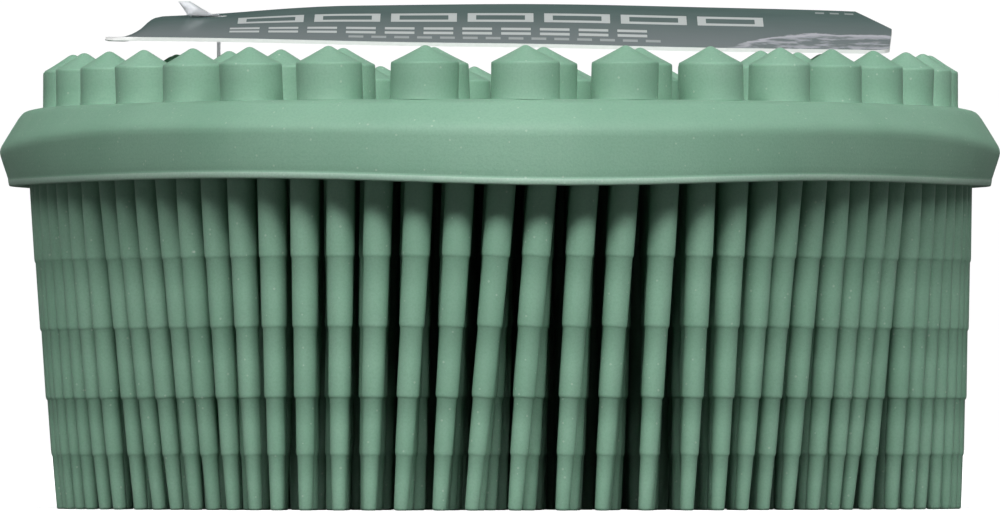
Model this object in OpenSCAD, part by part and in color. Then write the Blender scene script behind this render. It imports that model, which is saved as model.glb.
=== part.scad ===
// Hand-held silicone body scrubber: an oval pad with long stepped bristles
// below, two rows of pointed massage nubs above, and its retail card held on
// by a nylon tag fastener. Millimetres, +Z up, origin on the plane of the
// bristle tips, below the middle of the pad. -Y is the end that faces the user.

/* [Outline] */
// Width of the pad across its rim
body_w = 88; // [84:1:92]
// Length of the pad over its rim
body_l = 124; // [120:1:130]

/* [Pad] */
// Height of the pad's flat top above the bristle tips
top_z = 35.2; // [33:0.2:38]
// Thickness of the web that carries the bristles and nubs
web_t = 4; // [3:0.5:5]
// Height of the grip rim, from its lower edge to the flat top
rim_h = 7; // [6.5:0.1:7.5]
// Width of the rim's rounded shoulder, from the flat top to the outline
shoulder_w = 3.7; // [3:0.1:4]

/* [Bristles] */
// Distance between neighbouring bristles along a row
bristle_pitch = 3.65; // [3.4:0.05:4.5]
// Distance between neighbouring rows
row_gap = 4; // [3.8:0.1:4.1]
// Distance from the outline to the outermost row
first_row_inset = 4; // [4:0.1:4.5]
// Number of oval rows
rows = 10; // [4:1:10]
// Bristles on the centre line, inside the last row
core_bristles = 5; // [1:1:5]

/* [Nubs] */
// Distance between neighbouring nubs along the outer row
outer_nub_pitch = 8.7; // [8:0.1:11]
// Distance between neighbouring nubs along the inner row
inner_nub_pitch = 9.2; // [8:0.1:11]
// Distance from the outline to the outer row of nubs
nub_inset = 6.2; // [6:0.1:7]
// Distance between the two rows of nubs
nub_row_gap = 9; // [8:0.5:11]
// Diameter of a nub at the ends of the oval
nub_d_end = 5.9; // [5:0.1:6]
// Diameter of a nub at the sides of the oval
nub_d_side = 5; // [4.5:0.1:5.2]
// Height of a nub's cylindrical wall
nub_wall_h = 3.2; // [2.5:0.1:4]
// Height of a nub's pointed tip
nub_tip_h = 1.45; // [1:0.05:2]

/* [Card] */
// Width of the card
card_w = 69; // [60:1:74]
// Depth of the card
card_l = 31; // [26:1:40]
// Thickness of the card
card_t = 0.45; // [0.3:0.05:0.6]
// How steeply the card rises from its near edge, in degrees
card_tilt = 6; // [3:0.5:8]

/* [Fastener] */
// Diameter of the filament that goes through card and web
filament_d = 0.6; // [0.5:0.1:0.8]
// How far the fastener can be pulled up before its crossbar meets the web
tag_slack = 4; // [1:0.5:8]
// Length of the crossbar under the web
crossbar_l = 7.6; // [5:0.1:8]
// Diameter of the crossbar
crossbar_d = 0.8; // [0.6:0.1:0.8]
// Lean of the pull tab from upright, in degrees
tab_lean = 45; // [0:1:45]

/* [Hidden] */
silicone = [0.45, 0.62, 0.54];
printed_card = [0.38, 0.46, 0.45];
nylon = [0.93, 0.94, 0.95];
half_w = body_w / 2;
half_l = body_l / 2;
// The oval has an arc of end_r at each end and one of side_r along each side.
// Their centres and the joins between them lie on lines of slope 3 to 4, so
// the arcs are tangent and every centre is a round number.
centre_gap = (half_l - half_w) / 0.4;
end_y = 0.6 * centre_gap;
side_x = 0.8 * centre_gap;
end_r = half_l - end_y;
side_r = end_r + centre_gap;
turn = asin(0.8);
// How far a sector reaches, in units of centre_gap. It only has to pass the outline.
reach = 4;

web_z = top_z - web_t;
rim_z = top_z - rim_h;
nub_top_z = top_z + nub_wall_h + nub_tip_h;

// Each bristle is five slightly tapered steps, listed from the web downwards.
step_share = [0.304, 0.193, 0.194, 0.158, 0.151];
step_top_d = [2.48, 2.26, 1.98, 1.68, 1.42];
step_taper = [0.04, 0.07, 0.03, 0.08, 0.26];

// How far the outer row of bristles and each row of nubs start past the -Y
// end, in pitches. The other rows of bristles start on it.
outer_bristle_phase = 0.1;
outer_nub_phase = 0.25;
inner_nub_phase = -0.6;

card_near_y = -card_l / 2;
card_gap = 0.15;
card_near_r = 1.5;
card_far_r = 6;
card_hole_r = 0.75;
filament_x = -24.9;
filament_y = 11.8;
filament_play = 0.05;
// The crossbar lies along the bristle rows on either side of it.
bar_turn = -12;
foot_d = 2.2;
foot_t = 0.25;
foot_gap = 0.08;
tab_l = 2.2;
tab_base_w = 1.5;
tab_end_w = 0.9;
tab_t = 1;
// The foot clears the sloping card all round, whichever way the card is turned.
foot_z = nub_top_z + card_gap + (filament_y - card_near_y) * tan(card_tilt)
    + card_t / cos(card_tilt) + foot_d / 2 * tan(card_tilt) + foot_gap;
bar_z = web_z - crossbar_d / 2 - filament_play - tag_slack;

function row_name(k) = str("bristle_row_", k < 9 ? "0" : "", k + 1);

// Where the side arc starts on a parallel curve: at the end arc, or at the
// long axis once the inset is so deep that the end arc has vanished.
function side_start(inset) =
    inset < end_r ? turn : asin(side_x / (side_r - inset));
function end_length(inset) = max(end_r - inset, 0) * turn * PI / 180;
function quarter_length(inset) =
    end_length(inset) + (side_r - inset) * (90 - side_start(inset)) * PI / 180;

// Angle of the outline's normal from the -Y axis, a distance s along a quarter.
function quarter_angle(s, inset) =
    s < end_length(inset)
        ? s / (end_r - inset) * 180 / PI
        : side_start(inset) + (s - end_length(inset)) / (side_r - inset) * 180 / PI;

function quarter_point(s, inset) =
    let (a = quarter_angle(s, inset))
    s < end_length(inset)
        ? [(end_r - inset) * sin(a), -end_y - (end_r - inset) * cos(a)]
        : [(side_r - inset) * sin(a) - side_x, -(side_r - inset) * cos(a)];

// [x, y, angle] at a distance s right round the parallel curve, from its -Y end.
function oval_point(s, inset) =
    let (q = quarter_length(inset), n = floor(s / q), t = s - n * q)
    let (u = n % 2 == 0 ? t : q - t, p = quarter_point(u, inset))
    [n < 2 ? p.x : -p.x, n == 0 || n == 3 ? p.y : -p.y, quarter_angle(u, inset)];

// An even number of places round the curve, the first one shifted by phase pitches.
function row_points(inset, pitch, phase) =
    let (l = 4 * quarter_length(inset), n = 2 * round(l / pitch / 2))
    [for (i = [0 : n - 1]) oval_point((i + phase + n) % n * l / n, inset)];

function lower_ends(i = 0, z = web_z) =
    i == len(step_share) ? [] : let (low = z - step_share[i] * web_z)
        concat([abs(low) < 0.01 ? 0 : low], lower_ends(i + 1, low));

// What the end arc and the side arc each take of the plane. Two of each make
// up the oval and meet only along lines.
module end_sector() {
    polygon([[0, -end_y], [-reach * side_x, -(reach + 1) * end_y],
        [reach * side_x, -(reach + 1) * end_y]]);
}

module side_sector() {
    polygon([[0, -end_y], [reach * side_x, -(reach + 1) * end_y],
        [reach * side_x, (reach + 1) * end_y], [0, end_y]]);
}

// A plate of the oval outline, inset all round.
module oval_plate(inset, z, t) {
    translate([0, 0, z]) linear_extrude(t) for (half_turn = [0, 180])
        rotate(half_turn) {
            intersection() {
                translate([0, -end_y]) circle(end_r - inset, $fn = 96);
                end_sector();
            }
            intersection() {
                translate([-side_x, 0]) circle(side_r - inset, $fn = 180);
                side_sector();
            }
        }
}

// A ring round the oval outline, from its section of [inset, z] points.
module oval_ring(section, z, h) {
    for (half_turn = [0, 180]) rotate(half_turn) {
        intersection() {
            translate([0, -end_y, 0]) rotate_extrude($fn = 96)
                polygon([for (p = section) [end_r - p[0], p[1]]]);
            translate([0, 0, z]) linear_extrude(h) end_sector();
        }
        intersection() {
            translate([-side_x, 0, 0]) rotate_extrude($fn = 180)
                polygon([for (p = section) [side_r - p[0], p[1]]]);
            translate([0, 0, z]) linear_extrude(h) side_sector();
        }
    }
}

module web() {
    color(silicone) difference() {
        oval_plate(shoulder_w, web_z, web_t);
        translate([filament_x, filament_y, web_z - 1])
            cylinder(d = filament_d + 2 * filament_play, h = web_t + 2, $fn = 24);
    }
}

// The thick lip held by the fingers: a rounded shoulder, a side that draws in
// downwards, and a skirt that stands below the web round the bristles.
module grip_rim() {
    bulge_z = rim_z + 3.5;
    skirt_out = 0.9;
    skirt_in = 2.2;
    bead = 0.3;
    shoulder = [for (a = [0 : 15 : 90])
        [shoulder_w * (1 - sin(a) ^ 0.9), bulge_z + (top_z - bulge_z) * cos(a) ^ 0.9]];
    side = [for (f = [0.25 : 0.25 : 1])
        [skirt_out * f ^ 1.6, bulge_z - f * (bulge_z - rim_z - bead)]];
    color(silicone) oval_ring(concat([[shoulder_w, web_z]], shoulder, side,
        [[skirt_out + bead, rim_z], [skirt_in, rim_z], [skirt_in, web_z]]),
        rim_z - 1, rim_h + 2);
}

module bristle() {
    low = lower_ends();
    high = concat([web_z], low);
    rotate_extrude($fn = 24) polygon(concat([[0, 0], [0, web_z]],
        [for (i = [0 : len(low) - 1]) each [
            [step_top_d[i] / 2, high[i]],
            [(step_top_d[i] - step_taper[i]) / 2, low[i]]]]));
}

module bristle_row(k) {
    phase = k == 0 ? outer_bristle_phase : 0;
    color(silicone)
        for (p = row_points(first_row_inset + k * row_gap, bristle_pitch, phase))
            translate([p.x, p.y, 0]) bristle();
}

module bristle_core() {
    color(silicone) for (i = [0 : core_bristles - 1])
        translate([0, (i - (core_bristles - 1) / 2) * bristle_pitch, 0]) bristle();
}

module nub(d) {
    shoulder_cut = 0.25;
    tip_r = 0.3;
    rotate_extrude($fn = 32) polygon([[0, 0], [d / 2, 0],
        [d / 2, nub_wall_h - shoulder_cut], [d / 2 - shoulder_cut, nub_wall_h],
        [tip_r, nub_wall_h + nub_tip_h - 0.05], [0, nub_wall_h + nub_tip_h]]);
}

module nub_row(inset, pitch, phase) {
    color(silicone) for (p = row_points(inset, pitch, phase))
        translate([p.x, p.y, top_z])
            nub(nub_d_side + (nub_d_end - nub_d_side) * cos(p[2]) ^ 2);
}

// The card's outline in its own plane, with small near and large far corners.
module card_outline() {
    near = card_near_r;
    far = card_far_r;
    x = card_w / 2;
    translate([-x + near, 0]) square([card_w - 2 * near, near]);
    translate([-x, near]) square([card_w, card_l - near - far]);
    translate([-x + far, card_l - far]) square([card_w - 2 * far, far]);
    for (s = [-1, 1]) {
        translate([s * (x - near), near]) circle(near, $fn = 48);
        translate([s * (x - far), card_l - far]) circle(far, $fn = 96);
    }
}

module hang_card() {
    color(printed_card) translate([0, card_near_y, nub_top_z + card_gap])
        rotate([card_tilt, 0, 0]) difference() {
            linear_extrude(card_t) card_outline();
            translate([filament_x, (filament_y - card_near_y) / cos(card_tilt), -1])
                cylinder(r = card_hole_r, h = card_t + 2, $fn = 48);
        }
}

// One moulding: a crossbar under the web, a filament up through web and card,
// and a foot with a leaning pull tab above the card.
module tag_fastener() {
    color(nylon) translate([filament_x, filament_y, 0]) {
        rotate(bar_turn) translate([0, -crossbar_l / 2, bar_z]) rotate([-90, 0, 0])
            cylinder(d = crossbar_d, h = crossbar_l, $fn = 24);
        translate([0, 0, bar_z])
            cylinder(d = filament_d, h = foot_z + foot_t / 2 - bar_z, $fn = 24);
        translate([0, 0, foot_z]) cylinder(d = foot_d, h = foot_t, $fn = 48);
        translate([0, tab_t / 2, foot_z + foot_t / 2]) rotate([90, 0, 0])
            linear_extrude(tab_t) rotate(tab_lean) polygon([
                [-tab_base_w / 2, 0], [tab_base_w / 2, 0],
                [tab_end_w / 2, tab_l], [-tab_end_w / 2, tab_l]]);
    }
}

web();
grip_rim();
for (k = [0 : rows - 1])
    bristle_row(k);
bristle_core();
nub_row(nub_inset, outer_nub_pitch, outer_nub_phase);  // nub_row_outer
nub_row(nub_inset + nub_row_gap, inner_nub_pitch, inner_nub_phase);  // nub_row_inner
hang_card();
tag_fastener();
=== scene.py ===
"""The looks of the silicone body scrubber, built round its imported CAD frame.

Everything is in metres in the frame's own axes. The moulded silicone is soft, so the web, rim,
bristles and nubs of the frame are replaced by the same shapes as they sag and lean at rest. The
card is warped as the fastener pulls it, and printed with plain bars.
"""
import math
import random

import bpy
import numpy as np
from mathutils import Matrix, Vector


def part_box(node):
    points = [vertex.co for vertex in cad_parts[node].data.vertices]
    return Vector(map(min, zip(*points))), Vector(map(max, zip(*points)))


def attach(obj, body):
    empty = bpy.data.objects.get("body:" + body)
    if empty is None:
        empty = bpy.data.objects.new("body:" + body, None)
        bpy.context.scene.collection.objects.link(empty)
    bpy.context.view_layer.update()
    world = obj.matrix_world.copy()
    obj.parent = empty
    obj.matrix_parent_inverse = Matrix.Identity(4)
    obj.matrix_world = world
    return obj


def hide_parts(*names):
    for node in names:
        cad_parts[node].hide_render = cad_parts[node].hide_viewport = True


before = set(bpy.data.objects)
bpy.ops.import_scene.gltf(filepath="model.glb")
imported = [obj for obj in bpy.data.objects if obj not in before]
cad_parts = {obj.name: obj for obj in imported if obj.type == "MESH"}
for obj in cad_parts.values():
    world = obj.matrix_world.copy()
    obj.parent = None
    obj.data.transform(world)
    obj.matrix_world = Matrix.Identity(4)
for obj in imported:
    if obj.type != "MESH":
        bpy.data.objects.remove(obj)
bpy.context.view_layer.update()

MM = 0.001
TAU = 2 * math.pi

# ---------------------------------------------------------------- sizes from the frame
TOP_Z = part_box("web")[1].z
WEB_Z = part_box("web")[0].z
NUB_TOP_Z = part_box("nub_row_outer")[1].z
CARD_LOW, CARD_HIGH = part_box("hang_card")
TAG_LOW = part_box("tag_fastener")[0]
HALF_W = 44 * MM
HALF_L = 62 * MM


class Oval:
    """The pad's outline: an arc of end_r at each end and of side_r along each side.

    A place on it is a normal direction and the arc's centre, which parallel curves share.
    """

    def __init__(self, half_w, half_l):
        gap = (half_l - half_w) / 0.4
        self.end_y = 0.6 * gap
        self.side_x = 0.8 * gap
        self.end_r = half_l - self.end_y
        self.side_r = self.end_r + gap
        self.turn = math.asin(0.8)

    def side_start(self, inset):
        if inset < self.end_r:
            return self.turn
        return math.asin(self.side_x / (self.side_r - inset))

    def end_length(self, inset):
        return max(self.end_r - inset, 0) * self.turn

    def quarter(self, inset):
        side = (self.side_r - inset) * (math.pi / 2 - self.side_start(inset))
        return self.end_length(inset) + side

    def place(self, s, inset):
        """(x, y, normal x, normal y) a distance s round the parallel curve from its -Y end."""
        q = self.quarter(inset)
        turn_no = int(s // q) % 4
        t = s % q
        u = t if turn_no % 2 == 0 else q - t
        if u < self.end_length(inset):
            a = u / (self.end_r - inset)
            x = (self.end_r - inset) * math.sin(a)
            y = -self.end_y - (self.end_r - inset) * math.cos(a)
        else:
            a = self.side_start(inset) + (u - self.end_length(inset)) / (self.side_r - inset)
            x = (self.side_r - inset) * math.sin(a) - self.side_x
            y = -(self.side_r - inset) * math.cos(a)
        sx = 1 if turn_no < 2 else -1
        sy = 1 if turn_no in (0, 3) else -1
        return sx * x, sy * y, sx * math.sin(a), -sy * math.cos(a)

    def row(self, inset, pitch, phase=0.0):
        """An even number of places round a parallel curve, about a pitch apart."""
        length = 4 * self.quarter(inset)
        n = 2 * round(length / pitch / 2)
        return [self.place((i + phase) % n * length / n, inset) for i in range(n)]


OVAL = Oval(HALF_W, HALF_L)


# ---------------------------------------------------------------- how the soft silicone lies
def smooth(t):
    t = min(max(t, 0.0), 1.0)
    return t * t * (3 - 2 * t)


def curve_through(points, x):
    """A smooth curve through a few [x, value] points."""
    if x <= points[0][0]:
        return points[0][1]
    for (x0, v0), (x1, v1) in zip(points, points[1:]):
        if x <= x1:
            return v0 + (v1 - v0) * smooth((x - x0) / (x1 - x0))
    return points[-1][1]


# How far, in millimetres, the tips of the near outer bristles lie to the right of their roots,
# against the root's place across the pad in millimetres.
LEAN_NEAR = [(-40, 2.3), (-33, 3.0), (-27, 2.4), (-23, 1.4), (-17, 0.2), (-7, -1.5),
             (1, -2.8), (8, -2.3), (18, -1.4), (26, -2.6), (30, -2.1), (33, -2.9),
             (37, -1.5), (40, 0.3)]
# The same for the far outer bristles, a guess.
LEAN_FAR = [(-40, 1.6), (-26, 0.6), (-8, 1.4), (10, -0.4), (28, -1.5), (40, -1.2)]
# How fast the lean dies away inwards, per row, and how far, in millimetres, the tips at the two
# ends lie in towards the middle.
LEAN_FADE = 0.32
END_LEAN_IN = 0.6
END_LEAN_FADE = 0.3

# The rim's lower edge, in millimetres. At the near end it hangs in one wide dip, with its ends
# raised by DIP_BASE, and this gives way to a slow wave over the far half.
DIP_DEPTH = 0.82
DIP_X = 6
DIP_WIDTH = 20
DIP_BASE = 0.4
WAVE_HEIGHT = 0.2
WAVE_X, WAVE_Y, WAVE_START = 0.07, 0.05, 1.0


def lean(x, y, depth):
    """Sideways lean (x, y) of a bristle's tip. depth counts rows inwards from the outer one."""
    share = smooth((y / HALF_L + 1) / 2)
    near = curve_through(LEAN_NEAR, x / MM)
    far = curve_through(LEAN_FAR, x / MM)
    across = (near * (1 - share) + far * share) * math.exp(-LEAN_FADE * depth)
    along = -END_LEAN_IN * y / HALF_L * math.exp(-END_LEAN_FADE * depth)
    return across * MM, along * MM


def rim_wave(x, y):
    """How far the rim's lower edge hangs below its moulded height, in metres."""
    front = smooth(-y / HALF_L)
    dip = DIP_DEPTH * math.exp(-(((x / MM - DIP_X) / DIP_WIDTH) ** 2)) - DIP_BASE
    slow = WAVE_HEIGHT * math.sin(x / MM * WAVE_X + y / MM * WAVE_Y + WAVE_START)
    return (dip * front + slow * (1 - front)) * MM


# ---------------------------------------------------------------- mesh helpers
def new_object(name, verts, faces, slots=None, materials=()):
    mesh = bpy.data.meshes.new(name)
    mesh.from_pydata([tuple(v) for v in verts], [], faces)
    for m in materials:
        mesh.materials.append(m)
    if slots is not None:
        mesh.polygons.foreach_set("material_index", slots)
    mesh.polygons.foreach_set("use_smooth", [True] * len(mesh.polygons))
    mesh.update()
    obj = bpy.data.objects.new(name, mesh)
    bpy.context.scene.collection.objects.link(obj)
    return obj


class Shape:
    """Vertices and faces that grow as rings are added."""

    def __init__(self):
        self.verts, self.faces, self.slots = [], [], []

    def ring(self, points):
        start = len(self.verts)
        self.verts.extend(points)
        return range(start, start + len(points))

    def bridge(self, a, b, slot=0):
        n = len(a)
        for i in range(n):
            j = (i + 1) % n
            self.faces.append((a[i], a[j], b[j], b[i]))
            self.slots.append(slot)

    def cap(self, ring, slot=0, flip=False):
        self.faces.append(tuple(reversed(ring)) if flip else tuple(ring))
        self.slots.append(slot)

    def fan(self, ring, apex, slot=0, flip=False):
        top = len(self.verts)
        self.verts.append(apex)
        n = len(ring)
        for i in range(n):
            a, b = ring[i], ring[(i + 1) % n]
            self.faces.append((b, a, top) if flip else (a, b, top))
            self.slots.append(slot)

    def loft(self, rings, slot=0):
        made = [self.ring(r) for r in rings]
        for a, b in zip(made, made[1:]):
            self.bridge(a, b, slot)
        return made

    def face(self, slot, *corners):
        self.faces.append(tuple(corners))
        self.slots.append(slot)

    def build(self, name, materials):
        return new_object(name, self.verts, self.faces, self.slots, materials)


# ---------------------------------------------------------------- materials
class Nodes:
    """A short way of writing a node material."""

    def __init__(self, name):
        self.mat = bpy.data.materials.new(name)
        self.mat.use_nodes = True
        self.tree = self.mat.node_tree
        self.bsdf = self.tree.nodes["Principled BSDF"]

    def put(self, socket, value):
        if isinstance(value, bpy.types.NodeSocket):
            self.tree.links.new(value, socket)
        else:
            socket.default_value = value

    def math(self, operation, a, b=0.0, clamp=False):
        node = self.tree.nodes.new("ShaderNodeMath")
        node.operation = operation
        node.use_clamp = clamp
        self.put(node.inputs[0], a)
        self.put(node.inputs[1], b)
        return node.outputs[0]

    def noise(self, scale, detail=2.0, roughness=0.5, vector=None):
        node = self.tree.nodes.new("ShaderNodeTexNoise")
        node.inputs["Scale"].default_value = scale
        node.inputs["Detail"].default_value = detail
        node.inputs["Roughness"].default_value = roughness
        self.put(node.inputs["Vector"], vector or self.object_coords())
        return node.outputs["Fac"]

    def object_coords(self):
        if not hasattr(self, "_coords"):
            self._coords = self.tree.nodes.new("ShaderNodeTexCoord").outputs["Object"]
        return self._coords

    def axes(self):
        if not hasattr(self, "_axes"):
            node = self.tree.nodes.new("ShaderNodeSeparateXYZ")
            self.put(node.inputs[0], self.object_coords())
            self._axes = node.outputs
        return self._axes

    def mix(self, factor, a, b):
        node = self.tree.nodes.new("ShaderNodeMix")
        node.data_type = "RGBA"
        self.put(node.inputs["Factor"], factor)
        self.put(node.inputs[6], a)
        self.put(node.inputs[7], b)
        return node.outputs[2]

    def span(self, value, low, high):
        """0 below low, 1 above high, and smooth between."""
        node = self.tree.nodes.new("ShaderNodeMapRange")
        node.interpolation_type = "SMOOTHSTEP"
        self.put(node.inputs["Value"], value)
        node.inputs["From Min"].default_value = low
        node.inputs["From Max"].default_value = high
        return node.outputs["Result"]

    def bump(self, height, distance, strength=1.0, normal=None):
        node = self.tree.nodes.new("ShaderNodeBump")
        node.inputs["Distance"].default_value = distance
        node.inputs["Strength"].default_value = strength
        self.put(node.inputs["Height"], height)
        if normal is not None:
            self.put(node.inputs["Normal"], normal)
        return node.outputs["Normal"]


SILICONE_DEEP = (0.220, 0.408, 0.292, 1)
SILICONE_PALE = (0.254, 0.450, 0.328, 1)
SILICONE_GRAIN = (0.140, 0.290, 0.200, 1)
# Paler silicone for the rim's lower lip: a painted highlight where its edge catches light.
LIP_HIGHLIGHT_DEEP = (0.33, 0.49, 0.395, 1)
LIP_HIGHLIGHT_PALE = (0.40, 0.57, 0.46, 1)
DUST = (0.58, 0.68, 0.60, 1)
MOULD_RING_PITCH = 0.42 * MM


def silicone_material(name, deep, pale):
    """Matt green silicone with a faint mottle, moulding rings and specks of pale dust."""
    n = Nodes(name)
    cloud = n.span(n.noise(90, 3), 0.3, 0.7)
    grain = n.noise(5200, 3, 0.7)
    base = n.mix(cloud, deep, pale)
    mottled = n.mix(n.math("MULTIPLY", n.span(grain, 0.35, 0.75), 0.28), base, SILICONE_GRAIN)
    dust = n.math("MAXIMUM", specks(n, 420, 0.045, 0.93),
                  n.math("MULTIPLY", specks(n, 1250, 0.13, 0.62), 0.45))
    n.put(n.bsdf.inputs["Base Color"],
          n.mix(n.math("MULTIPLY", dust, 0.7), mottled, DUST))
    n.put(n.bsdf.inputs["Roughness"], n.math("ADD", n.math("MULTIPLY", grain, 0.18), 0.52))
    rings = n.math("SINE", n.math("MULTIPLY", n.axes()[2], TAU / MOULD_RING_PITCH))
    height = n.math("ADD", grain, n.math("MULTIPLY", rings, 0.035))
    n.put(n.bsdf.inputs["Normal"], n.bump(height, 0.00003, 0.55))
    n.bsdf.inputs["Specular IOR Level"].default_value = 0.55
    n.bsdf.inputs["Subsurface Weight"].default_value = 0.12
    n.bsdf.inputs["Subsurface Radius"].default_value = (0.4, 1.0, 0.6)
    n.bsdf.inputs["Subsurface Scale"].default_value = 0.0010
    return n.mat


def specks(n, scale, size, rarity):
    """A mask of small round specks in some of the cells of a pattern."""
    cells = n.tree.nodes.new("ShaderNodeTexVoronoi")
    cells.inputs["Scale"].default_value = scale
    n.put(cells.inputs["Vector"], n.object_coords())
    chance = n.tree.nodes.new("ShaderNodeSeparateColor")
    n.put(chance.inputs[0], cells.outputs["Color"])
    return n.math("MULTIPLY", n.math("LESS_THAN", cells.outputs["Distance"], size),
                  n.math("GREATER_THAN", chance.outputs[0], rarity))


def paper_material():
    """The card's bare board at its cut edge and back."""
    n = Nodes("card_board")
    fibre = n.noise(1800, 4, 0.7)
    n.put(n.bsdf.inputs["Base Color"],
          n.mix(fibre, (0.72, 0.73, 0.72, 1), (0.86, 0.87, 0.86, 1)))
    n.bsdf.inputs["Roughness"].default_value = 0.8
    n.put(n.bsdf.inputs["Normal"], n.bump(fibre, 0.00005, 0.5))
    return n.mat


INK_DEEP = (0.085, 0.135, 0.126, 1)
INK_PALE = (0.100, 0.152, 0.142, 1)
INK_NEAR_PAINTED_LIGHT = (0.205, 0.235, 0.240, 1)
RIDGE_TINT = (0.60, 0.60, 0.66, 1)
WORD_TINT = (0.66, 0.70, 0.69, 1)


def print_material():
    """The card's print: dark grey-green ink with painted light near the near edge, plain frames
    and dashes, a pale ridge.
    """
    n = Nodes("card_print")
    x, y = n.axes()[0], n.axes()[1]

    def bar(cx, cy, w, h):
        """A mask of one upright box, by its centre and size in millimetres."""
        dx = n.math("ABSOLUTE", n.math("SUBTRACT", x, cx * MM))
        dy = n.math("ABSOLUTE", n.math("SUBTRACT", y, cy * MM))
        return n.math("MULTIPLY", n.math("LESS_THAN", dx, w * MM / 2),
                      n.math("LESS_THAN", dy, h * MM / 2))

    def row(first, count, pitch, cy, w, h):
        """A mask of boxes a pitch apart, the first centred at x = first."""
        total = 0.0
        for i in range(count):
            total = n.math("MAXIMUM", total, bar(first + i * pitch, cy, w, h))
        return total

    frames = n.math("SUBTRACT", row(-20.2, 7, 6.75, 3.4, 5.8, 7.4),
                    row(-20.2, 7, 6.75, 3.4, 4.3, 3.8))
    for cy in (-5.9, -9.3):
        frames = n.math("MAXIMUM", frames, row(-22.4, 11, 3.4, cy, 2.6, 1.8))
    dashes = n.math("MAXIMUM", row(-12.6, 14, 2.0, -12.6, 1.3, 1.5),
                    row(28.3, 3, 1.3, 12.6, 0.8, 1.3))
    dashes = n.math("MULTIPLY", dashes, 0.5)
    wander = n.noise(120, 4, 0.6)
    ink = n.mix(n.span(wander, 0.3, 0.7), INK_DEEP, INK_PALE)
    # Painted light: the ink lightens towards the near edge, where the steeper card faces the
    # lamps.
    near = n.math("SUBTRACT", 1.0, n.span(y, -17 * MM, 15 * MM))
    ink = n.mix(n.math("MULTIPLY", near, 0.9), ink, INK_NEAR_PAINTED_LIGHT)
    climb = n.math("MULTIPLY", n.span(x, 18.8 * MM, 26.8 * MM), 10.2 * MM)
    rough = n.math("MULTIPLY", n.math("SUBTRACT", n.noise(330, 4, 0.6), 0.5), 6 * MM)
    crest = n.math("SUBTRACT", n.math("ADD", climb, rough), 15.6 * MM)
    below = n.math("SUBTRACT", crest, y)
    line = n.math("MULTIPLY", n.span(below, -0.4 * MM, 0.3 * MM),
                  n.math("SUBTRACT", 1.0, n.span(below, 0.8 * MM, 2.4 * MM)))
    wisps = n.math("MULTIPLY", n.span(below, 0, 0.5 * MM),
                   n.span(n.noise(520, 3, 0.6), 0.44, 0.64))
    ridge = n.math("MAXIMUM", line, n.math("MULTIPLY", wisps, 0.7))
    ridge = n.math("MULTIPLY", ridge, n.math("MULTIPLY", n.span(x, 19.2 * MM, 22.5 * MM), 0.75))
    inked = n.mix(ridge, ink, RIDGE_TINT)
    words = n.math("MULTIPLY", n.math("MAXIMUM", frames, dashes), 0.8)
    n.put(n.bsdf.inputs["Base Color"], n.mix(words, inked, WORD_TINT))
    n.bsdf.inputs["Roughness"].default_value = 0.6
    n.bsdf.inputs["Specular IOR Level"].default_value = 0.0
    n.bsdf.inputs["Coat Weight"].default_value = 0.22
    n.bsdf.inputs["Coat Roughness"].default_value = 0.12
    n.put(n.bsdf.inputs["Normal"], n.bump(n.noise(2200, 2), 0.00002, 0.4))
    return n.mat


def nylon_material():
    """White nylon that light goes a little way into."""
    n = Nodes("nylon")
    haze = n.noise(700, 2)
    n.put(n.bsdf.inputs["Base Color"], n.mix(haze, (0.74, 0.76, 0.80, 1), (0.90, 0.91, 0.93, 1)))
    n.bsdf.inputs["Roughness"].default_value = 0.32
    n.bsdf.inputs["IOR"].default_value = 1.25
    n.bsdf.inputs["Transmission Weight"].default_value = 0.65
    n.bsdf.inputs["Subsurface Weight"].default_value = 0.3
    n.bsdf.inputs["Subsurface Radius"].default_value = (1.0, 1.0, 1.0)
    n.bsdf.inputs["Subsurface Scale"].default_value = 0.0006
    n.put(n.bsdf.inputs["Normal"], n.bump(haze, 0.00003, 0.4))
    return n.mat


SILICONE = silicone_material("silicone", SILICONE_DEEP, SILICONE_PALE)
# A paler copy of the silicone for the lower lip: painted highlight.
LIP_PAINTED_HIGHLIGHT = silicone_material("lip_painted_highlight", LIP_HIGHLIGHT_DEEP, LIP_HIGHLIGHT_PALE)
BOARD = paper_material()
PRINT = print_material()
NYLON = nylon_material()


# ---------------------------------------------------------------- pad and rim
# The rim's section from the flat top outwards and round under the web: how far in from the
# outline, and the height below the top, in millimetres.
SECTION = [(12, 0), (7, 0), (4.2, 0), (3.4, 0.04), (2.9, 0.13), (2.45, 0.24), (2.16, 0.36),
           (1.94, 0.55), (1.64, 0.92), (1.12, 1.75), (0.66, 2.5), (0.38, 2.98), (0.17, 3.34),
           (0.05, 3.64), (0.0, 3.95), (0.07, 4.3), (0.28, 5.0), (0.54, 5.8), (0.68, 6.24),
           (0.72, 6.36), (0.72, 6.46), (0.75, 6.66), (0.8, 6.9), (0.86, 6.99), (1.0, 7.02),
           (1.4, 7.02), (1.9, 7.0), (2.12, 6.9), (2.2, 6.7), (2.24, 5.8), (2.3, 4.6),
           (2.4, 4.2), (2.7, 4.02), (3.4, 4.0), (7, 4.0), (12, 4.0)]
PAD_STEPS = 360
# The steps of the section that make up its lower lip, paler as a painted highlight.
LIP_HIGHLIGHT_STEPS = range(20, 24)
# Where the flat middle has its inner loops, in millimetres in from the outline.
FLAT_INSETS = (20, 28, 34)

# How the rim gives: not at all inwards of one inset, and fully a width further out.
SOFT_INSET = 9 * MM
SOFT_OVER = 5 * MM
# Its lower part hangs, from one height below the top and over a height. At the ends of the pad
# it also lies further out, which stands it more upright. All of these are in millimetres.
HANG_FROM, HANG_OVER = 2.2, 4.4
HANG_OUT = 0.92
# Each bend of the skirt there: where it starts, over what height, and how far out it goes.
SKIRT_BENDS = [(4.6, 1.6, 0.16), (6.3, 0.35, 0.18)]
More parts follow.
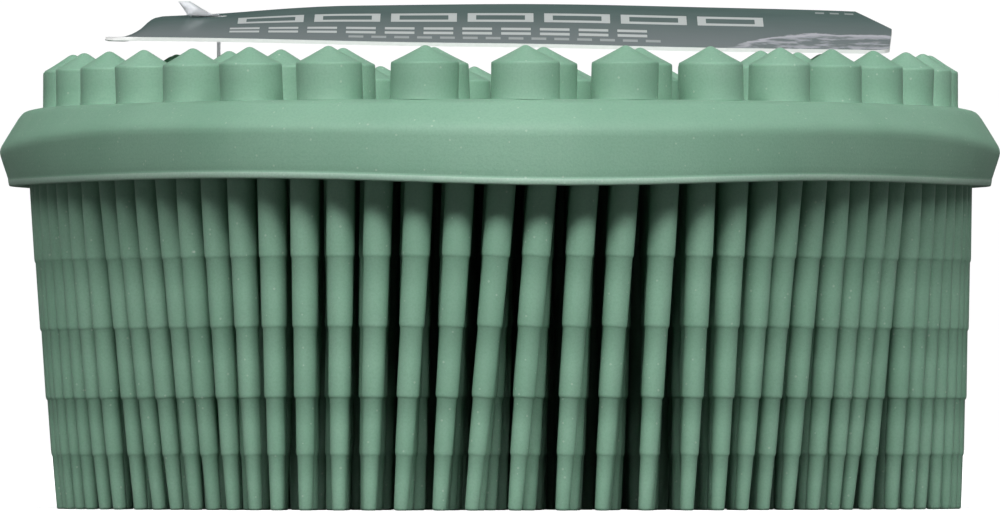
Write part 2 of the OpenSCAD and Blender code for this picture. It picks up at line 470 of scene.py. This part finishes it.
# At the ends the widest line sits higher: the height below the top where that is full, where
# and over what it fades, how much it is, and the slant of the outline where it is full.
CREASE_FULL = 3.6
CREASE_FADE, CREASE_FADE_OVER = 3.9, 2.3
CREASE_LIFT = 1.3
CREASE_END = 0.55


def pad_places():
    length = 4 * OVAL.quarter(0)
    return [OVAL.place(i * length / PAD_STEPS, 0) for i in range(PAD_STEPS)]


def soft_pad_point(x, y, nx, ny, inset, z):
    """A moulded point of the pad as it lies: the rim's lower part hangs, and at the ends it
    stands more upright than at the sides."""
    drop = (TOP_Z - z) / MM
    outer = smooth((SOFT_INSET - inset) / SOFT_OVER)
    hang = smooth((drop - HANG_FROM) / HANG_OVER) * outer
    skirt = sum(reach * smooth((drop - start) / over) for start, over, reach in SKIRT_BENDS)
    upright = (HANG_OUT * hang + skirt * outer) * MM * ny**2
    crease = smooth(drop / CREASE_FULL) * (1 - smooth((drop - CREASE_FADE) / CREASE_FADE_OVER))
    lift = CREASE_LIFT * MM * smooth(abs(ny) / CREASE_END) * crease * outer
    px = x - nx * (inset - upright)
    py = y - ny * (inset - upright)
    return Vector((px, py, z + lift - rim_wave(x, y) * hang))


def make_pad():
    shape = Shape()
    places = pad_places()
    rings = []
    for inset, drop in SECTION:
        rings.append([soft_pad_point(*p, inset * MM, TOP_Z - drop * MM) for p in places])
    made = [shape.ring(r) for r in rings]
    for i in range(len(made) - 1):
        shape.bridge(made[i + 1], made[i], 1 if i in LIP_HIGHLIGHT_STEPS else 0)
    for outer_ring, z, faces_down in ((made[0], TOP_Z, False), (made[-1], WEB_Z, True)):
        last = outer_ring
        for inset in FLAT_INSETS:
            ring = shape.ring([Vector((x - nx * inset * MM, y - ny * inset * MM, z))
                               for x, y, nx, ny in places])
            if faces_down:
                shape.bridge(ring, last)
            else:
                shape.bridge(last, ring)
            last = ring
        shape.cap(last, flip=faces_down)
    pad = shape.build("pad", [SILICONE, LIP_PAINTED_HIGHLIGHT])
    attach(pad, "scrubber")
    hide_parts("web", "grip_rim")
    return pad


# ---------------------------------------------------------------- bristles
BRISTLE_PITCH = 3.65 * MM
ROW_GAP = 4 * MM
FIRST_ROW_INSET = 4 * MM
ROWS = 10
CORE = 5
OUTER_BRISTLE_PHASE = 0.1
FLANK_SPLAY = 0.32 * MM
STEP_SHARE = [0.304, 0.193, 0.194, 0.158, 0.151]
STEP_TOP_D = [2.48, 2.26, 1.98, 1.68, 1.42]
STEP_TAPER = [0.04, 0.07, 0.03, 0.08, 0.20]
# The standard deviation of a tip's place, in millimetres, in the outer row and in the others,
# and how many sides a bristle has: in the outer row, the second and all others.
OUTER_SCATTER, INNER_SCATTER = 0.1, 0.33
BRISTLE_SIDES = {0: 20, 1: 16}
INNER_BRISTLE_SIDES = 12


def bristle_profile():
    """[height, radius] from the web down to the tip, with rounded lower edges at the steps."""
    root = STEP_TOP_D[0] / 2 * MM
    points = [(WEB_Z + 0.1 * MM, root + 0.22 * MM), (WEB_Z - 0.12 * MM, root + 0.05 * MM)]
    z = WEB_Z
    for i, (share, top_d, taper) in enumerate(zip(STEP_SHARE, STEP_TOP_D, STEP_TAPER)):
        low = z - share * WEB_Z
        r0, r1 = top_d / 2 * MM, (top_d - taper) / 2 * MM
        points += [(z - 0.05 * MM, r0), ((z + low) / 2, (r0 + r1) / 2)]
        if i < len(STEP_SHARE) - 1:
            ledge = r1 - STEP_TOP_D[i + 1] / 2 * MM
            points += [(low + 0.3 * MM, r1), (low + 0.12 * MM, r1 - 0.2 * ledge),
                       (low + 0.02 * MM, r1 - 0.6 * ledge)]
        z = low
    return points + [(0.25 * MM, r1), (0.07 * MM, r1 - 0.04 * MM), (0.0, r1 - 0.14 * MM)]


PROFILE = bristle_profile()


def circle(sides):
    return [(math.cos(TAU * i / sides), math.sin(TAU * i / sides)) for i in range(sides)]


def add_bristle(shape, x, y, tip_x, tip_y, sides):
    """One bristle, bent so that its tip ends up tip_x, tip_y from its root."""
    rings = []
    bow = random.uniform(0.9, 1.25)
    size = random.uniform(0.985, 1.01)
    for z, r in PROFILE:
        t = max(0.0, 1 - z / WEB_Z)
        bend = t**bow
        slope = bow * max(t, 0.02) ** (bow - 1) / WEB_Z
        cx, cy = x + tip_x * bend, y + tip_y * bend
        ring = []
        for c, s in circle(sides):
            rise = r * (c * tip_x + s * tip_y) * slope
            ring.append(Vector((cx + r * size * c, cy + r * size * s, max(z + rise, 0.0))))
        rings.append(ring)
    made = shape.loft(rings[::-1])
    shape.cap(made[0], flip=True)
    shape.cap(made[-1])


def make_bristle_row(name, node, places, depth):
    shape = Shape()
    spread = OUTER_SCATTER if depth == 0 else INNER_SCATTER
    sides = BRISTLE_SIDES.get(depth, INNER_BRISTLE_SIDES)
    for x, y in places:
        if depth == 0:
            x += FLANK_SPLAY * smooth((abs(x) - 30 * MM) / (9 * MM)) * (1 if x > 0 else -1)
        lean_x, lean_y = lean(x, y, depth)
        tip_x = lean_x + random.gauss(0, spread) * MM
        tip_y = lean_y + random.gauss(0, spread) * MM
        add_bristle(shape, x, y, tip_x, tip_y, sides)
    row = shape.build(name, [SILICONE])
    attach(row, "scrubber")
    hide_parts(node)
    return row


def make_bristles():
    random.seed(7)
    for k in range(ROWS):
        phase = OUTER_BRISTLE_PHASE if k == 0 else 0.0
        places = [(x, y) for x, y, _, _ in
                  OVAL.row(FIRST_ROW_INSET + k * ROW_GAP, BRISTLE_PITCH, phase)]
        make_bristle_row(f"bristles_{k + 1:02d}", f"bristle_row_{k + 1:02d}", places, k)
    middle = (CORE - 1) / 2
    core = [(0.0, (i - middle) * BRISTLE_PITCH) for i in range(CORE)]
    make_bristle_row("bristles_core", "bristle_core", core, ROWS)


# ---------------------------------------------------------------- nubs
OUTER_NUB_PITCH = 8.7 * MM
INNER_NUB_PITCH = 9.2 * MM
NUB_INSET = 6.2 * MM
NUB_ROW_GAP = 9 * MM
NUB_D_END = 5.9 * MM
NUB_D_SIDE = 5.0 * MM
NUB_WALL_H = 3.2 * MM
NUB_SIDES = 40
NUB_TILT = 0.02
OUTER_NUB_PHASE = 0.25
INNER_NUB_PHASE = -0.6


def nub_profile(r):
    """[radius, height above the pad] from its foot to its blunt point."""
    tip = NUB_TOP_Z - TOP_Z
    wall = NUB_WALL_H
    cone = tip - wall - 0.2 * MM
    return [(r + 0.08 * MM, -0.05 * MM), (r + 0.04 * MM, 0.04 * MM), (r, 0.2 * MM),
            (r, wall * 0.5), (r, wall - 0.2 * MM), (r - 0.02 * MM, wall - 0.04 * MM),
            (r - 0.08 * MM, wall + 0.03 * MM), (r - 0.2 * MM, wall + 0.09 * MM),
            (r * 0.6, wall + cone * 0.46), (0.5 * MM, wall + cone),
            (0.36 * MM, tip - 0.11 * MM), (0.18 * MM, tip - 0.03 * MM)]


def make_nub_row(name, node, inset, pitch, phase):
    shape = Shape()
    for x, y, _, ny in OVAL.row(inset, pitch, phase):
        r = (NUB_D_SIDE + (NUB_D_END - NUB_D_SIDE) * ny**2) / 2
        tilt_x = random.gauss(0, NUB_TILT)
        rings = [[Vector((x + q * c + h * tilt_x, y + q * s, TOP_Z + h))
                  for c, s in circle(NUB_SIDES)] for q, h in nub_profile(r)]
        made = shape.loft(rings)
        shape.cap(made[0], flip=True)
        shape.fan(made[-1], Vector((x + (NUB_TOP_Z - TOP_Z) * tilt_x, y, NUB_TOP_Z)))
    row = shape.build(name, [SILICONE])
    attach(row, "scrubber")
    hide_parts(node)
    return row


def make_nubs():
    random.seed(3)
    make_nub_row("nubs_outer", "nub_row_outer", NUB_INSET, OUTER_NUB_PITCH, OUTER_NUB_PHASE)
    make_nub_row("nubs_inner", "nub_row_inner", NUB_INSET + NUB_ROW_GAP, INNER_NUB_PITCH,
                 INNER_NUB_PHASE)


# ---------------------------------------------------------------- retail card
CARD_T = 0.33 * MM
CARD_NEAR_R = 1.2 * MM
CARD_CUT_L = 15 * MM
CARD_CUT_LEFT = 4.6 * MM
CARD_CUT_RIGHT = 3.0 * MM
CARD_TAPER = 0.5 * MM
CARD_COLUMNS = 60
CARD_ROWS = 28
# The first rows, round the near corners, in millimetres back from the near edge.
CARD_NEAR_BACKS = [0, 0.08, 0.3, 0.7, 1.2]
# How far back from the near edge the left edge is pressed thin, and by what share at most.
CARD_PRESSED = 4 * MM
CARD_PRESSED_SHARE = 0.85
# The card's underside, in millimetres: a base height close to the nubs' tips, the near edge
# over it and its fall per millimetre to the right, the far edge over it and its fall at the
# left, and the power by which it rises from near to far.
CARD_Z = 39.8
CARD_NEAR_UP, CARD_NEAR_SLOPE = 0.54, 0.0183
CARD_FAR_UP = 4.57
CARD_FALL, CARD_FALL_X, CARD_FALL_OVER = 0.4, -13, 14
CARD_RISE_POWER = 0.88
# Its bow from a middle line, left of it and right of it.
CARD_BOW_X, CARD_BOW_LEFT, CARD_BOW_RIGHT = -2, 0.00085, 0.0006
# At its left end it loses most of its rise, from one place and over a width.
CARD_CURL, CARD_CURL_X, CARD_CURL_OVER = 0.82, -30.5, 2.6
RIPPLE, RIPPLE_X, RIPPLE_START = 0.03, 0.23, 0.6
FASTENER_DIP, FASTENER_DIP_R = 0.08, 4
HOLE = (-24.9 * MM, 11.8 * MM)
HOLE_R = 0.75 * MM


def card_sides(back):
    """Where the card's left and right edges are, at a distance back from its near edge."""
    half = (CARD_HIGH.x - CARD_LOW.x) / 2
    if back < CARD_NEAR_R:
        half += math.sqrt(CARD_NEAR_R**2 - (CARD_NEAR_R - back) ** 2) - CARD_NEAR_R
    cut_start = CARD_HIGH.y - CARD_LOW.y - CARD_CUT_L
    cut = max(back / cut_start - 1, 0) * cut_start / CARD_CUT_L
    taper = CARD_TAPER * max(1 - back / cut_start, 0)
    return -half + CARD_CUT_LEFT * cut, half - taper - CARD_CUT_RIGHT * cut


def card_height(x, y):
    """The card's underside as it lies: bowed across, rising to the back, its left end curled
    down and a dip where the fastener holds it."""
    t = (y - CARD_LOW.y) / (CARD_HIGH.y - CARD_LOW.y)
    x, y = x / MM, y / MM
    near = CARD_Z + CARD_NEAR_UP - CARD_NEAR_SLOPE * x
    bow = CARD_BOW_RIGHT if x > CARD_BOW_X else CARD_BOW_LEFT
    fall = CARD_FALL * smooth((CARD_FALL_X - x) / CARD_FALL_OVER)
    far = CARD_Z + CARD_FAR_UP - bow * (x - CARD_BOW_X) ** 2 - fall
    curl = CARD_CURL * smooth((CARD_CURL_X - x) / CARD_CURL_OVER)
    ripple = RIPPLE * math.sin(x * RIPPLE_X + RIPPLE_START)
    off = ((x - HOLE[0] / MM) ** 2 + (y - HOLE[1] / MM) ** 2) / FASTENER_DIP_R**2
    dip = FASTENER_DIP * math.exp(-off)
    return (near + (far - near) * t**CARD_RISE_POWER * (1 - curl) + ripple - dip) * MM


def make_card():
    """A thin board, pressed thin and worn bare at its near left corner."""
    shape = Shape()
    length = CARD_HIGH.y - CARD_LOW.y
    backs = [b * MM for b in CARD_NEAR_BACKS]
    backs += [CARD_NEAR_R + (length - CARD_NEAR_R) * (i + 1) / CARD_ROWS
              for i in range(CARD_ROWS)]
    grid = {}
    for r, back in enumerate(backs):
        left, right = card_sides(back)
        y = CARD_LOW.y + back
        pressed = CARD_PRESSED_SHARE * (1 - smooth(back / CARD_PRESSED))
        low = [Vector((x, y, card_height(x, y))) for x in
               (left + (right - left) * c / CARD_COLUMNS for c in range(CARD_COLUMNS + 1))]
        high = [v + Vector((0, 0, CARD_T * (1 if c else 1 - pressed)))
                for c, v in enumerate(low)]
        grid["low", r] = shape.ring(low)
        grid["high", r] = shape.ring(high)
    board, printed = 0, 1
    last = len(backs) - 1
    for r in range(last):
        for c in range(CARD_COLUMNS):
            a, b = grid["low", r], grid["low", r + 1]
            shape.face(board, a[c], b[c], b[c + 1], a[c + 1])
            a, b = grid["high", r], grid["high", r + 1]
            bare = c == 0 and backs[r] < CARD_PRESSED
            shape.face(board if bare else printed, a[c], a[c + 1], b[c + 1], b[c])
        for c, flip in ((0, False), (CARD_COLUMNS, True)):
            quad = [grid["low", r][c], grid["high", r][c],
                    grid["high", r + 1][c], grid["low", r + 1][c]]
            shape.face(board, *(reversed(quad) if flip else quad))
    for r, flip in ((0, False), (last, True)):
        for c in range(CARD_COLUMNS):
            quad = [grid["low", r][c], grid["low", r][c + 1],
                    grid["high", r][c + 1], grid["high", r][c]]
            shape.face(board, *(reversed(quad) if flip else quad))
    card = shape.build("card", [BOARD, PRINT])
    cut_hole(card)
    mark_sharp(card, 50)
    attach(card, "card")
    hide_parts("hang_card")
    return card


def cut_hole(card):
    """Punches the fastener's hole through the card."""
    punch = Shape()
    x, y = HOLE
    rings = [[Vector((x + HOLE_R * c, y + HOLE_R * s, z)) for c, s in circle(32)]
             for z in (CARD_LOW.z - 2 * MM, CARD_HIGH.z + 2 * MM)]
    low, high = punch.loft(rings)
    punch.cap(low, flip=True)
    punch.cap(high)
    tool = punch.build("punch", [BOARD])
    cut = card.modifiers.new("hole", "BOOLEAN")
    cut.operation = "DIFFERENCE"
    cut.solver = "EXACT"
    cut.object = tool
    apply_modifiers(card)
    bpy.data.objects.remove(tool)


def apply_modifiers(obj):
    bpy.context.view_layer.update()
    mesh = bpy.data.meshes.new_from_object(
        obj.evaluated_get(bpy.context.evaluated_depsgraph_get()))
    obj.modifiers.clear()
    obj.data = mesh


def mark_sharp(obj, degrees):
    """Keeps edges steeper than an angle crisp, and the rest smooth."""
    obj.data.set_sharp_from_angle(angle=math.radians(degrees))


# ---------------------------------------------------------------- tag fastener
FOOT_Z = 43.56 * MM
FOOT_T = 0.18 * MM
BAR_Z = TAG_LOW.z + 0.4 * MM
BAR_HALF = 3.8 * MM
BAR_TURN = math.radians(-12)
BAR_R = 0.4 * MM
FILAMENT_R = 0.16 * MM
# The foot is an oval plate, most of it left of the filament, with rounded edges: each [share
# of its size, share of its thickness].
FOOT_LEFT = 1.15 * MM
FOOT_HALF_X, FOOT_HALF_Y = 1.3 * MM, 0.9 * MM
FOOT_EDGE = [(0.92, 0.0), (1.0, 0.25), (1.0, 0.7), (0.9, 1.0)]
# The tab leans left from the foot: each [share of its height, width, thickness], in
# millimetres, with its corners cut.
TAB_LEFT = 1.6 * MM
TAB_H = 1.22 * MM
TAB_REACH = 1.45 * MM
TAB_SECTIONS = [(0, 2.5, 1.0), (0.12, 2.15, 0.95), (0.5, 1.62, 0.85), (0.95, 1.15, 0.8),
                (1.0, 1.05, 0.72)]
TAB_CORNER = 0.75


def tube(shape, points, radii, sides):
    """A round tube along points with a radius at each, closed at both ends."""
    rings = []
    for i, (p, r) in enumerate(zip(points, radii)):
        before, after = points[max(i - 1, 0)], points[min(i + 1, len(points) - 1)]
        along = (after - before).normalized()
        across = along.cross(Vector((0, 0, 1)) if abs(along.z) < 0.9 else Vector((0, 1, 0)))
        across.normalize()
        other = along.cross(across)
        rings.append([p + r * (c * across + s * other) for c, s in circle(sides)])
    made = shape.loft(rings)
    shape.cap(made[0], flip=True)
    shape.cap(made[-1])


def make_fastener():
    """Crossbar, filament, foot and leaning tab, as one moulding."""
    shape = Shape()
    x, y = HOLE
    half = BAR_HALF
    ends = [(-half, 0.45), (-half + 0.05 * MM, 0.75), (-half + 0.2 * MM, 1.0)]
    bar = ends + [(-p, r) for p, r in reversed(ends)]
    tube(shape, [Vector((x - p * math.sin(BAR_TURN), y + p * math.cos(BAR_TURN), BAR_Z))
                 for p, _ in bar], [BAR_R * r for _, r in bar], 20)
    heights = np.linspace(BAR_Z, FOOT_Z + FOOT_T / 2, 24)
    flare = [FILAMENT_R * (1 + 0.6 * math.exp(-(((z - BAR_Z) / MM) / 0.6))
                           + 0.6 * math.exp(-(((heights[-1] - z) / MM) / 0.5)))
             for z in heights]
    tube(shape, [Vector((x, y, z)) for z in heights], flare, 16)
    rings = [[Vector((x - FOOT_LEFT + FOOT_HALF_X * k * c, y + FOOT_HALF_Y * k * s,
                      FOOT_Z + FOOT_T * h)) for c, s in circle(32)] for k, h in FOOT_EDGE]
    made = shape.loft(rings)
    shape.cap(made[0], flip=True)
    shape.cap(made[-1])
    add_tab(shape, x, y)
    fastener = shape.build("fastener", [NYLON])
    mark_sharp(fastener, 60)
    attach(fastener, "tag")
    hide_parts("tag_fastener")
    return fastener


def add_tab(shape, x, y):
    """The leaning tab that stands on the foot: wide at its foot, narrow at its sheared end."""
    rings = []
    k = TAB_CORNER
    outline = ((1, -k), (1, k), (k, 1), (-k, 1), (-1, k), (-1, -k), (-k, -1), (k, -1))
    for share, width, thick in TAB_SECTIONS:
        centre = Vector((x - TAB_LEFT - share * TAB_REACH, y,
                         FOOT_Z + FOOT_T / 2 + share * TAB_H))
        rings.append([centre + Vector((a * width / 2, b * thick / 2, 0)) * MM
                      for a, b in outline])
    made = shape.loft(rings)
    shape.cap(made[0], flip=True)
    shape.cap(made[-1])


# ---------------------------------------------------------------- stage, lights and camera
PLANE_HALF = 12.0
FLOOR_WHITE = (0.95, 0.95, 0.95, 1)
FLOOR_GLOW = 0.6
SHADE_GREY = (0.12, 0.12, 0.12, 1)
# The sky's strength below and above the height, as a direction's Z, where it fades.
HORIZON_LIGHT = 1.02
ROOM_LIGHT = 0.075
FADE_LOW, FADE_HIGH = 0.025, 0.05
# The front lights are a wide bank of lamps: degrees round from the front, height and power.
LAMPS = [(0, 44, 1.53), (-30, 41, 0.78), (30, 41, 0.78), (-60, 34, 0.43), (60, 34, 0.43)]
LAMP_SPREAD = math.radians(17)
CAMERA_Y = -2.0
CAMERA_Z = 6 * MM
SENSOR = 36.0
VIEW_W = 88 * MM
AIM_Z = 22.2 * MM


def make_plane(name, z, **inputs):
    """A wide level plane, attached to no body."""
    half = PLANE_HALF
    plane = new_object(name, [(-half, -half, z), (half, -half, z), (half, half, z),
                              (-half, half, z)], [(0, 1, 2, 3)])
    n = Nodes(name)
    for key, value in inputs.items():
        n.bsdf.inputs[key.replace("_", " ")].default_value = value
    plane.data.materials.append(n.mat)
    return plane


def make_floor():
    """A white floor for the camera alone. A dark one just below it throws up the little light
    that reaches the bristles from underneath, and shuts out the white of the lower sky."""
    floor = make_plane("floor", 0.0, Base_Color=FLOOR_WHITE, Roughness=0.9,
                       Specular_IOR_Level=0.0, Emission_Color=(1, 1, 1, 1),
                       Emission_Strength=FLOOR_GLOW)
    floor.visible_diffuse = False
    floor.visible_glossy = False
    floor.visible_shadow = False
    shade = make_plane("shade", -MM, Base_Color=SHADE_GREY, Specular_IOR_Level=0.0)
    shade.visible_camera = False


def make_world():
    """White below and on the horizon. The room above is dark, so little light gets in under
    the rim."""
    world = bpy.data.worlds.new("room")
    bpy.context.scene.world = world
    world.use_nodes = True
    tree = world.node_tree
    coords = tree.nodes.new("ShaderNodeTexCoord")
    split = tree.nodes.new("ShaderNodeSeparateXYZ")
    tree.links.new(coords.outputs["Generated"], split.inputs[0])
    fade = tree.nodes.new("ShaderNodeMapRange")
    fade.interpolation_type = "SMOOTHSTEP"
    fade.inputs["From Min"].default_value = FADE_LOW
    fade.inputs["From Max"].default_value = FADE_HIGH
    fade.inputs["To Min"].default_value = HORIZON_LIGHT
    fade.inputs["To Max"].default_value = ROOM_LIGHT
    tree.links.new(split.outputs["Z"], fade.inputs["Value"])
    tree.links.new(fade.outputs["Result"], tree.nodes["Background"].inputs["Strength"])
    tree.nodes["Background"].inputs["Color"].default_value = (1, 1, 1, 1)


def make_lamps():
    for round_degrees, height_degrees, power in LAMPS:
        light = bpy.data.lights.new("lamp", "SUN")
        light.energy = power
        light.angle = LAMP_SPREAD
        lamp = bpy.data.objects.new("lamp", light)
        bpy.context.scene.collection.objects.link(lamp)
        side, height = math.radians(round_degrees), math.radians(height_degrees)
        toward = Vector((math.sin(side) * math.cos(height),
                         -math.cos(side) * math.cos(height), math.sin(height)))
        lamp.location = toward
        lamp.rotation_euler = toward.to_track_quat("Z", "Y").to_euler()


def make_camera():
    data = bpy.data.cameras.new("camera")
    data.sensor_width = SENSOR
    data.lens = SENSOR * -CAMERA_Y / VIEW_W
    data.clip_end = 40
    camera = bpy.data.objects.new("camera", data)
    bpy.context.scene.collection.objects.link(camera)
    camera.location = (0, CAMERA_Y, CAMERA_Z)
    toward = Vector((0, 0, AIM_Z)) - camera.location
    camera.rotation_euler = toward.to_track_quat("-Z", "Y").to_euler()
    bpy.context.scene.camera = camera


make_camera()
make_world()
make_lamps()
make_floor()
make_pad()
make_bristles()
make_nubs()
make_card()
make_fastener()
bpy.context.scene.view_settings.view_transform = "Standard"
